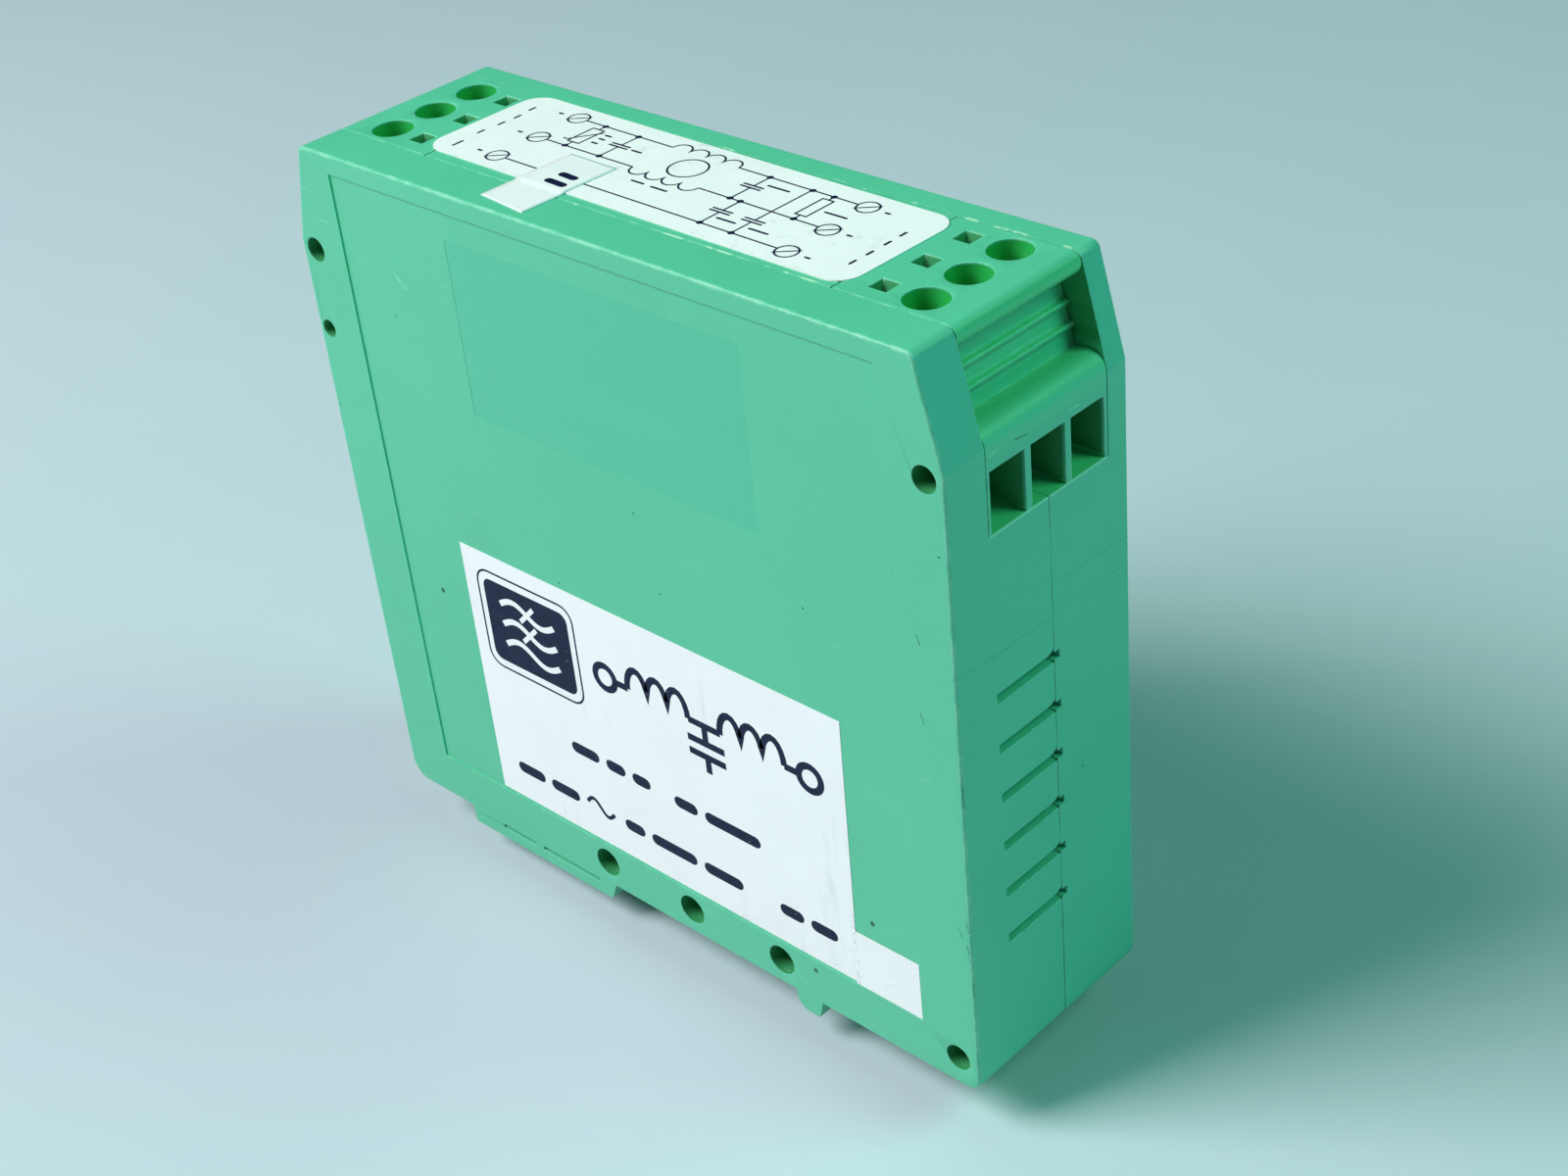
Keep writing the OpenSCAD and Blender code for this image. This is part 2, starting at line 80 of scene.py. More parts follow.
# Working frame of the drawing, in millimetres: from the housing's lower left
# front corner to the middle of the footprint.
OX, OY, OZ = -38.6, -11.25, 4.8


def P(x, y, z):
    """A point given in millimetres from the housing's lower left front corner."""
    return Vector(((x + OX) * MM, (y + OY) * MM, (z + OZ) * MM))


# ------------------------------------------------------------------ camera
def make_camera():
    cam = bpy.data.cameras.new("camera")
    cam.sensor_width = 36.0
    cam.lens = 55.4
    cam.clip_start, cam.clip_end = 0.01, 20.0
    ob = bpy.data.objects.new("camera", cam)
    right = Vector((0.72916, 0.67871, -0.08769))
    up = Vector((-0.31661, 0.44815, 0.83601))
    back = Vector((0.60671, -0.58182, 0.54166))
    m = Matrix.Identity(4)
    for i, axis in enumerate((right, up, back)):
        for r in range(3):
            m[r][i] = axis[r]
    for r, v in enumerate((0.139656, -0.125373, 0.157053)):
        m[r][3] = v
    ob.matrix_world = m
    scene.collection.objects.link(ob)
    scene.camera = ob


make_camera()

# ------------------------------------------------------------------ light and floor
scene.view_settings.view_transform = "Standard"
scene.view_settings.look = "None"


def area(name, loc, target, size, power, color):
    lt = bpy.data.lights.new(name, "AREA")
    lt.shape = "RECTANGLE"
    lt.size, lt.size_y = size
    lt.energy = power
    lt.color = color
    ob = bpy.data.objects.new(name, lt)
    ob.location = loc
    ob.rotation_mode = "QUATERNION"
    ob.rotation_quaternion = (Vector(target) - Vector(loc)).to_track_quat("-Z", "Y")
    ob.visible_camera = False
    scene.collection.objects.link(ob)


area("key", (-0.36, -0.50, 0.66), (0, 0, 0.04), (0.42, 0.42), 9.7, (1.0, 0.99, 0.985))
area("side_top", (0.44, 0.30, 0.54), (0.03, 0, 0.04), (0.32, 0.32), 2.2, (0.31, 1.0, 0.64))
area("side_low", (0.48, 0.20, 0.06), (0.04, 0, 0.035), (0.14, 0.36), 0.66, (0.01, 0.42, 0.92))

world = bpy.data.worlds.new("world")
scene.world = world
world.use_nodes = True
bg = world.node_tree.nodes["Background"]
bg.inputs[0].default_value = (0.42, 0.78, 1.0, 1)
bg.inputs[1].default_value = 0.10


# ------------------------------------------------------------------ materials
class Look:
    """A material built from nodes, with short names for the nodes it uses."""

    def __init__(self, name, co="Object"):
        self.m = bpy.data.materials.new(name)
        self.m.use_nodes = True
        self.nt = self.m.node_tree
        self.bsdf = self.nt.nodes["Principled BSDF"]
        self.co = self.node("ShaderNodeTexCoord").outputs[co]
        self.xyz = None

    def node(self, kind, **props):
        n = self.nt.nodes.new(kind)
        for k, v in props.items():
            setattr(n, k, v)
        return n

    def put(self, sock, v):
        if isinstance(v, bpy.types.NodeSocket):
            self.nt.links.new(v, sock)
        elif isinstance(v, (tuple, list)) and len(v) == 3 and sock.type == "RGBA":
            sock.default_value = (*v, 1)
        else:
            sock.default_value = v

    def math(self, op, a, b=0.0, c=None, clamp=False):
        n = self.node("ShaderNodeMath", operation=op, use_clamp=clamp)
        self.put(n.inputs[0], a)
        self.put(n.inputs[1], b)
        if c is not None:
            self.put(n.inputs[2], c)
        return n.outputs[0]

    def remap(self, v, a, b, c=0.0, d=1.0, smooth=False):
        n = self.node("ShaderNodeMapRange", clamp=True)
        n.interpolation_type = "SMOOTHSTEP" if smooth else "LINEAR"
        for i, x in enumerate((v, a, b, c, d)):
            self.put(n.inputs[i], x)
        return n.outputs[0]

    def mix(self, f, a, b, blend="MIX"):
        n = self.node("ShaderNodeMix", data_type="RGBA", blend_type=blend)
        self.put(n.inputs[0], f)
        self.put(n.inputs[6], a)
        self.put(n.inputs[7], b)
        return n.outputs[2]

    def stretch(self, sx, sy, sz, rot=(0, 0, 0), loc=(0, 0, 0), co=None):
        n = self.node("ShaderNodeMapping", vector_type="POINT")
        self.put(n.inputs[0], co or self.co)
        n.inputs[1].default_value = loc
        n.inputs[2].default_value = rot
        n.inputs[3].default_value = (sx, sy, sz)
        return n.outputs[0]

    def noise(self, scale, detail=2.0, rough=0.5, co=None, dist=0.0):
        n = self.node("ShaderNodeTexNoise")
        self.put(n.inputs["Vector"], co or self.co)
        n.inputs["Scale"].default_value = scale
        n.inputs["Detail"].default_value = detail
        n.inputs["Roughness"].default_value = rough
        n.inputs["Distortion"].default_value = dist
        return n.outputs["Fac"]

    def cells(self, scale, feature="F1", co=None, out="Distance", rand=1.0):
        n = self.node("ShaderNodeTexVoronoi", feature=feature)
        self.put(n.inputs["Vector"], co or self.co)
        n.inputs["Scale"].default_value = scale
        n.inputs["Randomness"].default_value = rand
        return n.outputs[out]

    def axis(self, i):
        if self.xyz is None:
            n = self.node("ShaderNodeSeparateXYZ")
            self.put(n.inputs[0], self.co)
            self.xyz = n.outputs
        return self.xyz[i]

    def band(self, i, lo, hi, soft):
        """1 between lo and hi along an axis, in metres."""
        a = self.remap(self.axis(i), lo - soft, lo + soft, 0, 1, True)
        b = self.remap(self.axis(i), hi - soft, hi + soft, 1, 0, True)
        return self.math("MULTIPLY", a, b)

    def field(self, x=None, y=None, z=None, soft=0.4):
        """1 inside a box given in working millimetres."""
        m = None
        for i, (r, o) in enumerate(((x, OX), (y, OY), (z, OZ))):
            if r is None:
                continue
            b = self.band(i, (r[0] + o) * MM, (r[1] + o) * MM, soft * MM)
            m = b if m is None else self.math("MULTIPLY", m, b)
        return m

    def rims(self):
        """1 on the narrow faces of broken edges, which hands and tools rub."""
        n = self.node("ShaderNodeAttribute", attribute_type="GEOMETRY", attribute_name="rim")
        return n.outputs["Fac"]

    def specks(self, points, radius):
        """1 in small spots at points given in working millimetres."""
        best = None
        for p in points:
            n = self.node("ShaderNodeVectorMath", operation="DISTANCE")
            self.put(n.inputs[0], self.co)
            n.inputs[1].default_value = P(*p)
            best = n.outputs["Value"] if best is None else self.math("MINIMUM", best, n.outputs["Value"])
        return self.remap(best, radius * MM * 0.6, radius * MM * 1.3, 1, 0)

    def marks(self, segments, width, soft=0.5):
        """1 along short straight marks, each from one point to another in working millimetres."""
        best = None
        for p, q in segments:
            a, b = P(*p), P(*q)
            ba = b - a
            sub = self.node("ShaderNodeVectorMath", operation="SUBTRACT")
            self.put(sub.inputs[0], self.co)
            sub.inputs[1].default_value = a
            dot = self.node("ShaderNodeVectorMath", operation="DOT_PRODUCT")
            self.put(dot.inputs[0], sub.outputs[0])
            dot.inputs[1].default_value = ba / max(ba.length_squared, 1e-12)
            h = self.math("ADD", dot.outputs["Value"], 0.0, clamp=True)
            sc = self.node("ShaderNodeVectorMath", operation="SCALE")
            sc.inputs[0].default_value = ba
            self.put(sc.inputs["Scale"], h)
            off = self.node("ShaderNodeVectorMath", operation="DISTANCE")
            self.put(off.inputs[0], sub.outputs[0])
            self.put(off.inputs[1], sc.outputs[0])
            d = off.outputs["Value"]
            best = d if best is None else self.math("MINIMUM", best, d)
        return self.remap(best, width * MM * (1 - soft), width * MM * (1 + soft), 1, 0)

    def bump(self, height, distance, strength=1.0, after=None):
        n = self.node("ShaderNodeBump")
        n.inputs["Strength"].default_value = strength
        n.inputs["Distance"].default_value = distance
        self.put(n.inputs["Height"], height)
        if after is not None:
            self.put(n.inputs["Normal"], after)
        return n.outputs[0]

    def done(self, color=None, rough=None, normal=None, **fixed):
        if color is not None:
            self.put(self.bsdf.inputs["Base Color"], color)
        if rough is not None:
            self.put(self.bsdf.inputs["Roughness"], rough)
        if normal is not None:
            self.put(self.bsdf.inputs["Normal"], normal)
        for k, v in fixed.items():
            self.bsdf.inputs[k.replace("_", " ")].default_value = v
        return self.m


# Where the housing is knocked and scratched, in working millimetres
DARK_SCRATCHES = [
    ((76.78, 0, 19.5), (76.95, 0, 18.4)), ((76.72, 0, 16.9), (76.97, 0, 15.2)), ((77.04, 0.1, 12.9), (77.06, 0.1, 11.3)),
    ((75.9, 0, 18.3), (76.25, 0, 17.5)), ((77.1, 0.15, 34.5), (77.12, 0.15, 31.8)),
    ((77.2, 8.34, 61.67), (77.2, 9.9, 61.5)), ((73.4, 0, 47.0), (73.7, 0, 46.2)), ((73.3, 0, 39.4), (73.6, 0, 38.5)),
]
DARK_SPECKS = [(41.5, 0.19, 46.8), (43.5, 0.19, 39.3), (76.3, 0, 55.2), (29.6, 0.19, 35.2), (0.6, 0, 45), (61.0, 0.19, 44.6),
               (77.2, 15.6, 26.4), (12.2, 0.19, 57.5)]
PALE_SCRATCHES = [
    ((77.2, 15.0, 61.16), (77.2, 16.3, 61.08)), ((77.2, 5.3, 61.68), (77.2, 6.2, 61.78)),
    ((53.3, 0, 67.8), (53.8, 0, 67.6)), ((12.9, 0.19, 62.3), (14.6, 0.19, 60.9)),
]
MOULD_LINES = [
    ((77.2, 12.5, 46.5), (77.2, 22.2, 46.0)), ((77.2, 12.9, 43.8), (77.2, 22.2, 43.4)), ((77.2, 0.6, 44.15), (77.2, 11.9, 43.55)),
    ((77.2, 4.4, 43.7), (77.2, 7.4, 43.6)),
]


def housing_plastic():
    """Satin moulded polyamide: faint mottling, a spark-eroded grain, rubbed edges, scratches and dirt in the seams,
    with painted light and painted shade in its channels, holes, sill, bar, panel step and smooth field.
    """
    k = Look("housing_plastic_look")
    broad = k.noise(55, 3, 0.55)
    mid = k.noise(900, 3, 0.6)
    base = k.mix(k.remap(broad, 0.3, 0.7), (0.082, 0.490, 0.292), (0.092, 0.525, 0.320))
    base = k.mix(k.remap(mid, 0.35, 0.65, 0.0, 0.20), base, (0.080, 0.455, 0.262))
    pepper = k.noise(3600, 2, 0.6)
    base = k.mix(k.remap(pepper, 0.40, 0.70, 0.0, 0.16), base, (0.13, 0.60, 0.375))
    # the smoother field on the side panel: glossier, and darkened with painted shade for the sheen it lacks
    smooth = k.field(x=(21.5, 56.8), y=(-1, 0.6), z=(50.1, 67.4), soft=0.08)
    base = k.mix(k.math("MULTIPLY", smooth, 0.75), base, (0.062, 0.480, 0.300))
    # long flow marks of the moulding, very faint
    flow = k.noise(60, 2, 0.5, co=k.stretch(0.35, 1, 2.2, rot=(0, math.radians(28), 0)))
    base = k.mix(k.remap(flow, 0.55, 0.75, 0.0, 0.12), base, (0.125, 0.58, 0.36))
    # the marker channels: painted light, the green of their own walls falling on them; a painted highlight on each
    # rib's top, painted shade under each rib and on the channels' side walls
    ends = k.math("MAXIMUM", k.field(x=(66.5, 77.08), z=(60.9, 71.75), soft=0.25),
                  k.field(x=(0.12, 10.7), z=(60.9, 71.75), soft=0.25))
    channel = k.math("MULTIPLY", ends, k.field(y=(4.79, 19.96), soft=0.03))
    cheek_shade = k.math("MULTIPLY", k.math("MAXIMUM", k.field(y=(4.76, 4.90), soft=0.03), k.field(y=(19.86, 20.0), soft=0.03)),
                    k.math("MAXIMUM", k.field(x=(66.5, 76.9), z=(64.5, 71.6), soft=0.5),
                           k.field(x=(0.3, 10.7), z=(64.5, 71.6), soft=0.5)))
    base = k.mix(k.math("MULTIPLY", channel, 0.9), base, (0.070, 0.560, 0.215))
    rib_top_highlight = k.math("MAXIMUM", k.field(z=(65.72, 66.2), soft=0.06), k.field(z=(67.52, 68.0), soft=0.06))
    under_rib_shade = k.math("MAXIMUM", k.field(z=(65.2, 65.66), soft=0.12), k.field(z=(67.0, 67.46), soft=0.12))
    base = k.mix(k.math("MULTIPLY", k.math("MULTIPLY", rib_top_highlight, channel), 0.45), base, (0.16, 0.72, 0.34))
    base = k.mix(k.math("MULTIPLY", k.math("MULTIPLY", under_rib_shade, channel), 0.55), base, (0.020, 0.300, 0.085))
    base = k.mix(k.math("MULTIPLY", cheek_shade, 0.7), base, (0.008, 0.200, 0.050))
    # screwdriver holes, wire entries and small holes: painted shade inside them, darker and greener
    shaft_shade = k.math("MAXIMUM", k.field(x=(4.9, 9.4), y=(5, 19.8), z=(58, 71.85), soft=0.10),
                    k.field(x=(67.8, 72.3), y=(5, 19.8), z=(58, 71.85), soft=0.10))
    base = k.mix(k.math("MULTIPLY", shaft_shade, 0.85), base, (0.010, 0.430, 0.060))
    hollow_shade = k.field(x=(60, 76.9), y=(5.2, 19.6), z=(55.1, 60.6), soft=0.10)
    for f in (k.field(x=(0.3, 14), y=(5.2, 19.6), z=(55.1, 60.6), soft=0.10),
              k.field(x=(10.2, 67.0), y=(5, 19.8), z=(58, 71.9), soft=0.08),
              k.field(x=(20, 77), y=(0.08, 4.6), z=(1.2, 4.5), soft=0.05),
              k.field(x=(73, 76.6), y=(0.08, 4.6), z=(58, 64), soft=0.05),
              k.field(x=(0.5, 5.0), y=(0.08, 4.6), z=(44, 64), soft=0.05)):
        hollow_shade = k.math("MAXIMUM", hollow_shade, f)
    base = k.mix(k.math("MULTIPLY", hollow_shade, 0.78), base, (0.006, 0.200, 0.030))
    # the sill under the wire entries: painted light on its floor, and a painted highlight along its edge
    sill = k.math("MAXIMUM", k.field(x=(73, 77.1), y=(5.1, 19.7), z=(54.6, 55.0), soft=0.08),
                  k.field(x=(0.1, 4.2), y=(5.1, 19.7), z=(54.6, 55.0), soft=0.08))
    base = k.mix(k.math("MULTIPLY", sill, 0.8), base, (0.110, 0.740, 0.270))
    edge = k.field(x=(77.04, 77.4), y=(5.0, 19.7), z=(54.64, 54.88), soft=0.04)
    base = k.mix(k.math("MULTIPLY", edge, 0.6), base, (0.420, 0.850, 0.550))
    # the bar over the wire entries: painted light on its rounded face
    bar = k.math("MAXIMUM", k.field(x=(73.2, 77.12), y=(4.79, 19.96), z=(61.6, 64.3), soft=0.3),
                 k.field(x=(0.08, 4.0), y=(4.79, 19.96), z=(61.6, 64.3), soft=0.3))
    base = k.mix(k.math("MULTIPLY", bar, 0.6), base, (0.160, 0.690, 0.360))
    # the shallow step at the panel's line end: painted light on its wall, which faces away from the key
    steps = k.field(x=(6.24, 6.36), y=(-0.1, 0.24), z=(5.2, 70.1), soft=0.02)
    base = k.mix(k.math("MULTIPLY", steps, 0.8), base, (0.090, 0.860, 0.440))
    # rubbed edges, and pale flecks where the cover was pressed in
    patchy = k.remap(k.noise(650, 4, 0.7), 0.42, 0.60)
    worn = k.math("MULTIPLY", k.rims(), patchy)
    base = k.mix(k.math("MULTIPLY", worn, 0.38), base, (0.30, 0.72, 0.52))
    seams = k.math("MAXIMUM", k.field(x=(32.5, 66), y=(4.72, 4.98), z=(71.7, 73), soft=0.06),
                   k.field(x=(35, 74), y=(19.85, 20.15), z=(71.7, 73), soft=0.08))
    flecks = k.math("MULTIPLY", seams, k.remap(k.noise(800, 2, 0.6, co=k.stretch(0.5, 1, 1)), 0.56, 0.62))
    base = k.mix(k.math("MULTIPLY", flecks, 0.7), base, (0.52, 0.82, 0.60))
    # dirt in the parting line on the two end faces, up to the sill
    line = k.math("MULTIPLY", k.field(y=(12.15, 12.25), z=(-1, 54.9), soft=0.03),
                  k.math("MAXIMUM", k.field(x=(77.0, 78), soft=0.05), k.field(x=(-1, 0.2), soft=0.05)))
    line = k.math("MULTIPLY", line, k.remap(k.noise(260, 3), 0.35, 0.6, 0.25, 0.85))
    base = k.mix(line, base, (0.008, 0.055, 0.030))
    # scratches and specks
    rag = k.remap(k.noise(5200, 3, 0.7), 0.36, 0.52)
    dark = k.math("MULTIPLY", k.marks(DARK_SCRATCHES, 0.055), rag)
    spots = k.specks(DARK_SPECKS, 0.11)
    dust = k.math("MULTIPLY", k.remap(k.cells(160), 0.050, 0.038), k.remap(k.noise(35, 1, 0.5), 0.585, 0.60))
    dark = k.math("MAXIMUM", dark, k.math("MAXIMUM", spots, dust))
    base = k.mix(k.math("MULTIPLY", dark, 0.85), base, (0.004, 0.040, 0.038))
    pale = k.math("MULTIPLY", k.marks(PALE_SCRATCHES, 0.05), k.remap(k.noise(4200, 2, 0.7), 0.40, 0.55))
    hair = k.noise(3800, 2, 0.5, co=k.stretch(0.05, 1, 1, rot=(0, math.radians(37), 0)))
    hair = k.math("MULTIPLY", k.remap(hair, 0.69, 0.75), k.remap(k.noise(90, 2, 0.5), 0.55, 0.64))
    pale = k.math("MAXIMUM", pale, k.math("MULTIPLY", hair, 0.45))
    base = k.mix(k.math("MULTIPLY", pale, 0.8), base, (0.46, 0.80, 0.62))
    witness = k.marks(MOULD_LINES, 0.06)
    base = k.mix(k.math("MULTIPLY", witness, 0.30), base, (0.03, 0.25, 0.14))
    rough = k.remap(k.noise(220, 3, 0.6), 0.3, 0.7, 0.38, 0.48)
    rough = k.math("SUBTRACT", rough, k.math("MULTIPLY", smooth, 0.17))
    rough = k.math("ADD", rough, k.math("MULTIPLY", dark, 0.2))
    rough = k.math("ADD", rough, k.math("MULTIPLY", hollow_shade, 0.35))
    keep = k.math("SUBTRACT", 1.0, k.math("MULTIPLY", smooth, 0.85))
    n1 = k.bump(k.math("MULTIPLY", k.noise(5200, 2, 0.6), keep), 0.00002, 0.5)
    n2 = k.bump(k.noise(95, 2, 0.5), 0.00012, 0.18, n1)
    return k.done(base, rough, n2)


def label_film(name, tint=(0.87, 0.89, 0.90), wear=1.0):
    """Satin white film with a soft cockle, grey rubs and short creases."""
    k = Look(name)
    broad = k.noise(120, 3, 0.5)
    col = k.mix(k.remap(broad, 0.3, 0.7), tint, tuple(c * 0.965 for c in tint))
    fibre = k.noise(2200, 2, 0.6)
    col = k.mix(k.remap(fibre, 0.4, 0.7, 0.0, 0.05), col, (0.62, 0.66, 0.70))
    rub = k.noise(700, 4, 0.65, co=k.stretch(1, 1, 0.12, rot=(0, math.radians(8), 0)))
    at = k.remap(k.noise(75, 2, 0.5), 0.52, 0.62)
    rub = k.math("MULTIPLY", k.remap(rub, 0.56, 0.68), at)
    col = k.mix(k.math("MULTIPLY", rub, 0.30 * wear), col, (0.45, 0.52, 0.60))
    specks = k.remap(k.cells(420), 0.05, 0.03)
    specks = k.math("MULTIPLY", specks, k.remap(k.noise(60, 1), 0.56, 0.6))
    col = k.mix(k.math("MULTIPLY", specks, 0.6 * wear), col, (0.16, 0.19, 0.24))
    torn = k.math("MULTIPLY", k.field(x=(63.1, 63.75), y=(-1, 0.5), z=(5, 13.5), soft=0.25),
                  k.remap(k.noise(1600, 4, 0.7, dist=1.2), 0.50, 0.62))
    col = k.mix(k.math("MULTIPLY", torn, 0.6), col, (0.33, 0.39, 0.45))
    rough = k.remap(k.noise(300, 2), 0.3, 0.7, 0.30, 0.42)
    n1 = k.bump(k.noise(160, 3, 0.5, dist=0.6), 0.0002, 0.10)
    crease = k.remap(k.math("ABSOLUTE", k.math("SUBTRACT", k.noise(95, 2, 0.5, dist=1.5), 0.5)), 0.0, 0.012, 1, 0)
    crease = k.math("MULTIPLY", crease, k.remap(k.noise(40, 1), 0.50, 0.62))
    n2 = k.bump(crease, 0.00005, 0.35 * wear, n1)
    n3 = k.bump(fibre, 0.00001, 0.3, n2)
    return k.done(col, rough, n3)


def ink():
    k = Look("label_ink")
    col = k.mix(k.remap(k.noise(900, 3, 0.6), 0.35, 0.7), (0.0018, 0.0048, 0.030), (0.0045, 0.010, 0.048))
    flecks = k.math("MULTIPLY", k.remap(k.cells(1500), 0.10, 0.06), k.remap(k.noise(350, 2), 0.58, 0.62))
    col = k.mix(k.math("MULTIPLY", flecks, 0.85), col, (0.60, 0.64, 0.68))
    return k.done(col, k.remap(k.noise(500, 2), 0.3, 0.7, 0.42, 0.52), k.bump(k.noise(1800, 2), 0.00001, 0.3),
                  Specular_IOR_Level=0.18)


def metal(name, color, dark, rough=0.34, scale=900.0, lines=(1, 1, 0.15)):
    k = Look(name)
    st = k.noise(scale, 3, 0.6, co=k.stretch(*lines))
    spots = k.remap(k.noise(260, 3, 0.6), 0.52, 0.7)
    col = k.mix(k.remap(st, 0.35, 0.65), color, tuple(c * 0.82 for c in color))
    col = k.mix(k.math("MULTIPLY", spots, 0.5), col, dark)
    r = k.remap(st, 0.3, 0.7, rough - 0.08, rough + 0.12)
    return k.done(col, r, k.bump(st, 0.00002, 0.3), Metallic=1.0)


def coated(name, a, b, rough=0.3, scale=300.0, bump=0.15, distance=0.00005):
    k = Look(name)
    col = k.mix(k.remap(k.noise(scale, 3, 0.6), 0.3, 0.7), a, b)
    scuffs = k.math("MULTIPLY", k.remap(k.noise(scale * 4, 3, 0.6), 0.60, 0.68), 0.35)
    col = k.mix(scuffs, col, tuple(min(1.0, c * 1.5 + 0.03) for c in b))
    r = k.remap(k.noise(scale * 0.7, 2), 0.3, 0.7, rough - 0.06, rough + 0.08)
    return k.done(col, r, k.bump(k.noise(scale * 3, 2), distance, bump))


def board_laminate():
    """Green solder resist over a faint glass weave, with tinned pads round the leads."""
    k = Look("board_laminate_look")
    col = k.mix(k.remap(k.noise(90, 2), 0.3, 0.7), (0.012, 0.13, 0.045), (0.018, 0.17, 0.060))
    wx = k.math("SINE", k.math("MULTIPLY", k.axis(0), 9000.0))
    wz = k.math("SINE", k.math("MULTIPLY", k.axis(2), 9000.0))
    weave = k.math("MULTIPLY", wx, wz)
    col = k.mix(k.remap(weave, -1, 1, 0.0, 0.25), col, (0.03, 0.23, 0.09))
    return k.done(col, k.remap(k.noise(200, 2), 0.3, 0.7, 0.22, 0.34), k.bump(weave, 0.00001, 0.35))


def copper_wire():
    k = Look("enamelled_wire_look")
    t = k.noise(1400, 2, 0.5, co=k.stretch(1, 0.1, 1))
    col = k.mix(k.remap(t, 0.3, 0.7), (0.50, 0.16, 0.05), (0.70, 0.27, 0.09))
    return k.done(col, k.remap(t, 0.3, 0.7, 0.18, 0.32), k.bump(t, 0.00003, 0.3), Metallic=0.85, Coat_Weight=0.5)


HOUSING = housing_plastic()
LABEL = label_film("label_film_look")
STICKER = label_film("sticker_film_look", (0.83, 0.855, 0.87), 0.7)
INK = ink()
STEEL = metal("clamp_screw_steel_look", (0.62, 0.61, 0.58), (0.30, 0.28, 0.24))
CAGE = metal("clamp_cage_steel_look", (0.60, 0.60, 0.56), (0.34, 0.31, 0.24), 0.38, 700)
TIN = metal("tinned_contact_look", (0.74, 0.73, 0.69), (0.48, 0.46, 0.40), 0.28, 600, (0.2, 1, 1))
WIRE = metal("spring_steel_look", (0.56, 0.56, 0.56), (0.30, 0.29, 0.28), 0.25, 1500, (1, 0.1, 1))
CATCH = coated("catch_plastic_look", (0.110, 0.46, 0.28), (0.135, 0.51, 0.31), 0.42, 160, 0.3, 0.00003)
LOOKS = {
    "circuit_board": board_laminate(),
    "choke_core": coated("coated_core_look", (0.030, 0.060, 0.040), (0.05, 0.09, 0.06), 0.35, 260, 0.5),
    "choke_carrier": coated("carrier_plastic_look", (0.010, 0.010, 0.011), (0.022, 0.022, 0.024), 0.45, 260, 0.3),
    "choke_winding_live": copper_wire(),
    "line_capacitor": coated("capacitor_case_look", (0.70, 0.57, 0.09), (0.78, 0.66, 0.13), 0.30, 160, 0.2),
    "earth_capacitor_live": coated("disc_coating_look", (0.02, 0.12, 0.36), (0.03, 0.17, 0.44), 0.22, 200, 0.5, 0.0002),
    "bleed_resistor": coated("resistor_coating_look", (0.60, 0.42, 0.20), (0.68, 0.50, 0.26), 0.35, 260, 0.2),
}
LOOKS["choke_winding_neutral"] = LOOKS["choke_winding_live"]
LOOKS["load_capacitor"] = LOOKS["line_capacitor"]
LOOKS["earth_capacitor_neutral"] = LOOKS["varistor"] = LOOKS["earth_capacitor_live"]


def build_floor():
    bm = bmesh.new()
    bmesh.ops.create_grid(bm, x_segments=1, y_segments=1, size=2.5)
    me = bpy.data.meshes.new("floor")
    bm.to_mesh(me)
    bm.free()
    ob = bpy.data.objects.new("floor", me)
    scene.collection.objects.link(ob)
    k = Look("floor_look")
    col = k.mix(k.remap(k.noise(25, 3), 0.3, 0.7), (0.50, 0.60, 0.665), (0.515, 0.612, 0.675))
    me.materials.append(k.done(col, 0.62, k.bump(k.noise(500, 2), 0.0001, 0.1)))


build_floor()


# ------------------------------------------------------------------ housing mouldings with broken edges
def sharp_edges(bm, angle):
    return [e for e in bm.edges if len(e.link_faces) == 2 and e.calc_face_angle(0) > angle]


def groups_of(edges):
    """Edges sorted into connected groups, the largest first."""
    par = {}

    def find(a):
        while par[a] is not a:
            par[a] = par[par[a]]
            a = par[a]
        return a

    for e in edges:
        for v in e.verts:
            par.setdefault(v, v)
        a, b = find(e.verts[0]), find(e.verts[1])
        par[a] = b
    out = {}
    for e in edges:
        out.setdefault(find(e.verts[0]), []).append(e)
    return sorted(out.values(), key=len, reverse=True)


def tight_corners(edges, width):
    """Edges round corners too small to take the rounding."""
    edges = set(edges)
    skip = set()
    for e in edges:
        if e.calc_length() >= width:
            continue
        for v in e.verts:
            d = (e.other_vert(v).co - v.co).normalized()
            for o in v.link_edges:
                if o is not e and o in edges and d.angle((o.other_vert(v).co - v.co).normalized()) < 2.53:
                    for w in e.verts:
                        skip.update(x for x in w.link_edges if x in edges)
    return skip


def strip_width(faces):
    ws = sorted(f.calc_area() / max(e.calc_length() for e in f.edges) for f in faces if f.is_valid and len(f.verts) == 4)
    return ws[len(ws) // 2] if ws else 0.0


def is_round(edges):
    """True for one closed rim in a plane that is wider than a millimetre both ways."""
    vs = {v for e in edges for v in e.verts}
    size = sorted(max(v.co[i] for v in vs) - min(v.co[i] for v in vs) for i in range(3))
    return len(vs) == len(edges) and size[0] < 0.1 * MM and size[1] > 1.0 * MM


def bevel(bm, edges, width, segments, clamp):
    return bmesh.ops.bevel(bm, geom=edges, offset=width, offset_type="OFFSET", segments=segments, profile=0.5,
                           affect="EDGES", clamp_overlap=clamp, loop_slide=True)["faces"]


